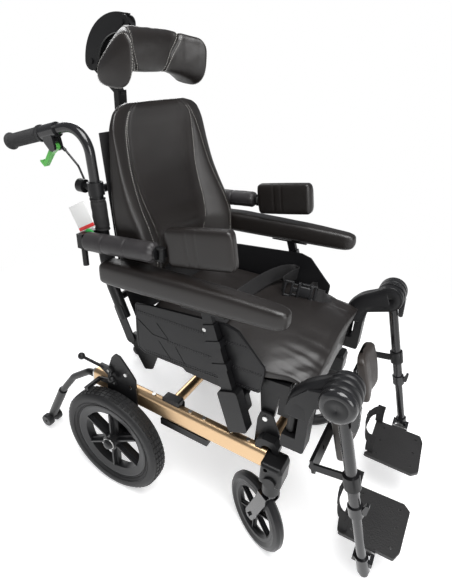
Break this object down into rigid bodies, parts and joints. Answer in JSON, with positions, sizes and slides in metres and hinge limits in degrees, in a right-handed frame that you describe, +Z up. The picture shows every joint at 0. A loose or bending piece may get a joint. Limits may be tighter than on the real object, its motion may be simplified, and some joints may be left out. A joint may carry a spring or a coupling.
{
  "type": "tilt in space wheelchair",
  "caption": "Tilt-in-space wheelchair with reclining padded back, headrest, lateral supports, lap belt, swing-away elevating legrests and anti-tippers.",
  "frame": {"origin": "on the ground, centre of the bounding box seen from above", "axes": "+Z up, -Y the way the chair faces, +X its left side"},
  "size_m": [0.618, 1.09, 1.173],
  "materials": {
    "gold_tube": "anodised satin",
    "black_metal": "satin powder coat",
    "hardware": "zinc plated",
    "tyre": "matte",
    "rim": "moulded",
    "fork": "satin",
    "vinyl": "grained vinyl",
    "cloth": "stretch cover",
    "guard": "moulded",
    "gloss_tube": "gloss",
    "grip": "ribbed",
    "green": "gloss"
  },
  "bodies": {
    "base": {"side_tubes": "gold_tube", "cross_tubes": "gold_tube", "axle_plates": "black_metal", "caster_housings": "black_metal", "frame_brackets": "black_metal", "frame_hardware": "hardware"},
    "seat": {"seat_frame": "black_metal", "seat_cushion": "cloth", "skirt_guards": "guard", "armrest_supports": "black_metal", "lap_belt": "cloth"},
    "back": {"back_frame": "black_metal", "back_upholstery": "cloth", "back_cushion": "vinyl", "trunk_arms": "black_metal"},
    "tilt_cylinder": {"tilt_cylinder": "black_metal"},
    "tilt_rod": {"tilt_rod": "hardware"},
    "headrest_post": {"headrest_post": "black_metal"},
    "headrest_link": {"headrest_link": "black_metal"},
    "headrest_cushion": {"headrest_cushion": "vinyl"},
    "rear_wheel_left": {"rear_tyre_left": "tyre", "rear_rim_left": "rim"},
    "caster_fork_left": {"caster_fork_left": "fork"},
    "caster_wheel_left": {"caster_wheel_left": "rim"},
    "brake_lever_left": {"brake_lever_left": "hardware"},
    "brake_shoe_left": {"brake_shoe_left": "hardware"},
    "anti_tipper_left": {"anti_tipper_left": "black_metal"},
    "anti_tip_wheels_left": {"anti_tip_wheels_left": "rim"},
    "armrest_left": {"armrest_post_left": "black_metal", "armrest_pad_left": "vinyl"},
    "push_handle_left": {"push_handle_left": "gloss_tube", "handle_grip_left": "grip"},
    "tilt_lever_left": {"tilt_lever_left": "green"},
    "trunk_pad_left": {"trunk_pad_left": "vinyl"},
    "legrest_left": {"knee_housing_left": "guard"},
    "hanger_left": {"hanger_left": "gloss_tube"},
    "calf_support_left": {"calf_support_left": "vinyl"},
    "lower_tube_left": {"lower_tube_left": "gloss_tube"},
    "footplate_left": {"footplate_left": "guard", "heel_strap_left": "cloth"},
    "rear_wheel_right": {"rear_tyre_right": "tyre", "rear_rim_right": "rim"},
    "caster_fork_right": {"caster_fork_right": "fork"},
    "caster_wheel_right": {"caster_wheel_right": "rim"},
    "brake_lever_right": {"brake_lever_right": "hardware"},
    "brake_shoe_right": {"brake_shoe_right": "hardware"},
    "anti_tipper_right": {"anti_tipper_right": "black_metal"},
    "anti_tip_wheels_right": {"anti_tip_wheels_right": "rim"},
    "armrest_right": {"armrest_post_right": "black_metal", "armrest_pad_right": "vinyl"},
    "push_handle_right": {"push_handle_right": "gloss_tube", "handle_grip_right": "grip"},
    "tilt_lever_right": {"tilt_lever_right": "green"},
    "trunk_pad_right": {"trunk_pad_right": "vinyl"},
    "legrest_right": {"knee_housing_right": "guard"},
    "hanger_right": {"hanger_right": "gloss_tube"},
    "calf_support_right": {"calf_support_right": "vinyl"},
    "lower_tube_right": {"lower_tube_right": "gloss_tube"},
    "footplate_right": {"footplate_right": "guard", "heel_strap_right": "cloth"}
  },
  "joints": [
    {"name": "seat_tilt", "type": "hinge", "parent": "base", "child": "seat", "pos_m": [0, -0.19804, 0.388], "axis": [-1, 0, 0], "range_deg": [-3, 20]},
    {"name": "tilt_cylinder_turn", "type": "hinge", "parent": "base", "child": "tilt_cylinder", "pos_m": [0, 0.04696, 0.346], "axis": [-1, 0, 0], "range_deg": [-8, 2]},
    {"name": "tilt_rod_slide", "type": "slide", "parent": "tilt_cylinder", "child": "tilt_rod", "axis": [0, -0.8795, 0.4759], "range_m": [-0.03, 0.008]},
    {"name": "back_recline", "type": "hinge", "parent": "seat", "child": "back", "pos_m": [0, 0.18196, 0.462], "axis": [-1, 0, 0], "range_deg": [0, 25]},
    {"name": "headrest_height", "type": "slide", "parent": "back", "child": "headrest_post", "axis": [0, 0, 1], "range_m": [-0.015, 0.06]},
    {"name": "headrest_lower_joint", "type": "hinge", "parent": "headrest_post", "child": "headrest_link", "pos_m": [0, 0.42196, 1.07], "axis": [-1, 0, 0], "range_deg": [0, 25]},
    {"name": "headrest_upper_joint", "type": "hinge", "parent": "headrest_link", "child": "headrest_cushion", "pos_m": [0, 0.31996, 1.152], "axis": [-1, 0, 0], "range_deg": [-5, 25]},
    {"name": "rear_wheel_spin_left", "type": "hinge", "parent": "base", "child": "rear_wheel_left", "pos_m": [0.272, 0.20696, 0.1575], "axis": [1, 0, 0], "continuous": true},
    {"name": "caster_swivel_left", "type": "hinge", "parent": "base", "child": "caster_fork_left", "pos_m": [0.249, -0.24504, 0.222], "axis": [0, 0, 1], "continuous": true},
    {"name": "caster_spin_left", "type": "hinge", "parent": "caster_fork_left", "child": "caster_wheel_left", "pos_m": [0.22956, -0.20894, 0.1], "axis": [0.8805, 0.4741, 0], "continuous": true},
    {"name": "brake_lever_turn_left", "type": "hinge", "parent": "base", "child": "brake_lever_left", "pos_m": [0.2445, 0.22896, 0.366], "axis": [-1, 0, 0], "range_deg": [0, 24]},
    {"name": "brake_shoe_turn_left", "type": "hinge", "parent": "base", "child": "brake_shoe_left", "pos_m": [0.2445, 0.21496, 0.331], "axis": [-1, 0, 0], "range_deg": [0, 13.5]},
    {"name": "anti_tipper_turn_left", "type": "hinge", "parent": "base", "child": "anti_tipper_left", "pos_m": [0.226, 0.27696, 0.30625], "axis": [0, 0.9994, 0.0349], "range_deg": [0, 40]},
    {"name": "anti_tip_spin_left", "type": "hinge", "parent": "anti_tipper_left", "child": "anti_tip_wheels_left", "pos_m": [0.226, 0.52496, 0.036], "axis": [1, 0, 0], "continuous": true},
    {"name": "armrest_height_left", "type": "slide", "parent": "seat", "child": "armrest_left", "axis": [0, 0.3338, 0.9426], "range_m": [-0.024, 0.008]},
    {"name": "handle_height_left", "type": "slide", "parent": "back", "child": "push_handle_left", "axis": [0, 0.0979, 0.9952], "range_m": [-0.03, 0.07]},
    {"name": "tilt_lever_squeeze_left", "type": "hinge", "parent": "push_handle_left", "child": "tilt_lever_left", "pos_m": [0.2, 0.37131, 0.90207], "axis": [1, 0, 0], "range_deg": [0, 14], "stiffness_Nm_per_rad": 1.5, "springref_deg": -5.73},
    {"name": "trunk_pad_swing_left", "type": "hinge", "parent": "back", "child": "trunk_pad_left", "pos_m": [0.2385, 0.05696, 0.732], "axis": [0, 0, 1], "range_deg": [0, 90]},
    {"name": "legrest_swing_left", "type": "hinge", "parent": "seat", "child": "legrest_left", "pos_m": [0.223, -0.26304, 0.425], "axis": [0, 0, 1], "range_deg": [0, 90]},
    {"name": "legrest_raise_left", "type": "hinge", "parent": "legrest_left", "child": "hanger_left", "pos_m": [0.246, -0.35404, 0.546], "axis": [-1, 0, 0], "range_deg": [-5, 60]},
    {"name": "calf_swing_left", "type": "hinge", "parent": "hanger_left", "child": "calf_support_left", "pos_m": [0.246, -0.40861, 0.35567], "axis": [0, 0.2756, 0.9613], "range_deg": [0, 90]},
    {"name": "lower_leg_slide_left", "type": "slide", "parent": "hanger_left", "child": "lower_tube_left", "axis": [0, -0.2756, -0.9613], "range_m": [-0.018, 0.035]},
    {"name": "footplate_flip_left", "type": "hinge", "parent": "lower_tube_left", "child": "footplate_left", "pos_m": [0.217, -0.47104, 0.134], "axis": [0, 1, 0], "range_deg": [0, 65]},
    {"name": "rear_wheel_spin_right", "type": "hinge", "parent": "base", "child": "rear_wheel_right", "pos_m": [-0.272, 0.20696, 0.1575], "axis": [1, 0, 0], "continuous": true},
    {"name": "caster_swivel_right", "type": "hinge", "parent": "base", "child": "caster_fork_right", "pos_m": [-0.249, -0.24504, 0.222], "axis": [0, 0, 1], "continuous": true},
    {"name": "caster_spin_right", "type": "hinge", "parent": "caster_fork_right", "child": "caster_wheel_right", "pos_m": [-0.22956, -0.20894, 0.1], "axis": [0.8805, -0.4741, 0], "continuous": true},
    {"name": "brake_lever_turn_right", "type": "hinge", "parent": "base", "child": "brake_lever_right", "pos_m": [-0.2445, 0.22896, 0.366], "axis": [-1, 0, 0], "range_deg": [0, 24]},
    {"name": "brake_shoe_turn_right", "type": "hinge", "parent": "base", "child": "brake_shoe_right", "pos_m": [-0.2445, 0.21496, 0.331], "axis": [-1, 0, 0], "range_deg": [0, 13.5]},
    {"name": "anti_tipper_turn_right", "type": "hinge", "parent": "base", "child": "anti_tipper_right", "pos_m": [-0.226, 0.27696, 0.30625], "axis": [0, -0.9994, -0.0349], "range_deg": [0, 40]},
    {"name": "anti_tip_spin_right", "type": "hinge", "parent": "anti_tipper_right", "child": "anti_tip_wheels_right", "pos_m": [-0.226, 0.52496, 0.036], "axis": [1, 0, 0], "continuous": true},
    {"name": "armrest_height_right", "type": "slide", "parent": "seat", "child": "armrest_right", "axis": [0, 0.3338, 0.9426], "range_m": [-0.024, 0.008]},
    {"name": "handle_height_right", "type": "slide", "parent": "back", "child": "push_handle_right", "axis": [0, 0.0979, 0.9952], "range_m": [-0.03, 0.07]},
    {"name": "tilt_lever_squeeze_right", "type": "hinge", "parent": "push_handle_right", "child": "tilt_lever_right", "pos_m": [-0.2, 0.37131, 0.90207], "axis": [1, 0, 0], "range_deg": [0, 14], "stiffness_Nm_per_rad": 1.5, "springref_deg": -5.73},
    {"name": "trunk_pad_swing_right", "type": "hinge", "parent": "back", "child": "trunk_pad_right", "pos_m": [-0.2385, 0.05696, 0.732], "axis": [0, 0, -1], "range_deg": [0, 90]},
    {"name": "legrest_swing_right", "type": "hinge", "parent": "seat", "child": "legrest_right", "pos_m": [-0.223, -0.26304, 0.425], "axis": [0, 0, -1], "range_deg": [0, 90]},
    {"name": "legrest_raise_right", "type": "hinge", "parent": "legrest_right", "child": "hanger_right", "pos_m": [-0.246, -0.35404, 0.546], "axis": [-1, 0, 0], "range_deg": [-5, 60]},
    {"name": "calf_swing_right", "type": "hinge", "parent": "hanger_right", "child": "calf_support_right", "pos_m": [-0.246, -0.40861, 0.35567], "axis": [0, -0.2756, -0.9613], "range_deg": [0, 90]},
    {"name": "lower_leg_slide_right", "type": "slide", "parent": "hanger_right", "child": "lower_tube_right", "axis": [0, -0.2756, -0.9613], "range_m": [-0.018, 0.035]},
    {"name": "footplate_flip_right", "type": "hinge", "parent": "lower_tube_right", "child": "footplate_right", "pos_m": [-0.217, -0.47104, 0.134], "axis": [0, -1, 0], "range_deg": [0, 65]}
  ],
  "couplings": [
    {"joint": "tilt_cylinder_turn", "follows": "seat_tilt", "ratio": -0.304},
    {"joint": "tilt_rod_slide", "follows": "seat_tilt", "m_per_rad": -0.0695},
    {"joint": "brake_shoe_turn_left", "follows": "brake_lever_turn_left", "ratio": 0.5624},
    {"joint": "brake_shoe_turn_right", "follows": "brake_lever_turn_right", "ratio": 0.5624}
  ]
}
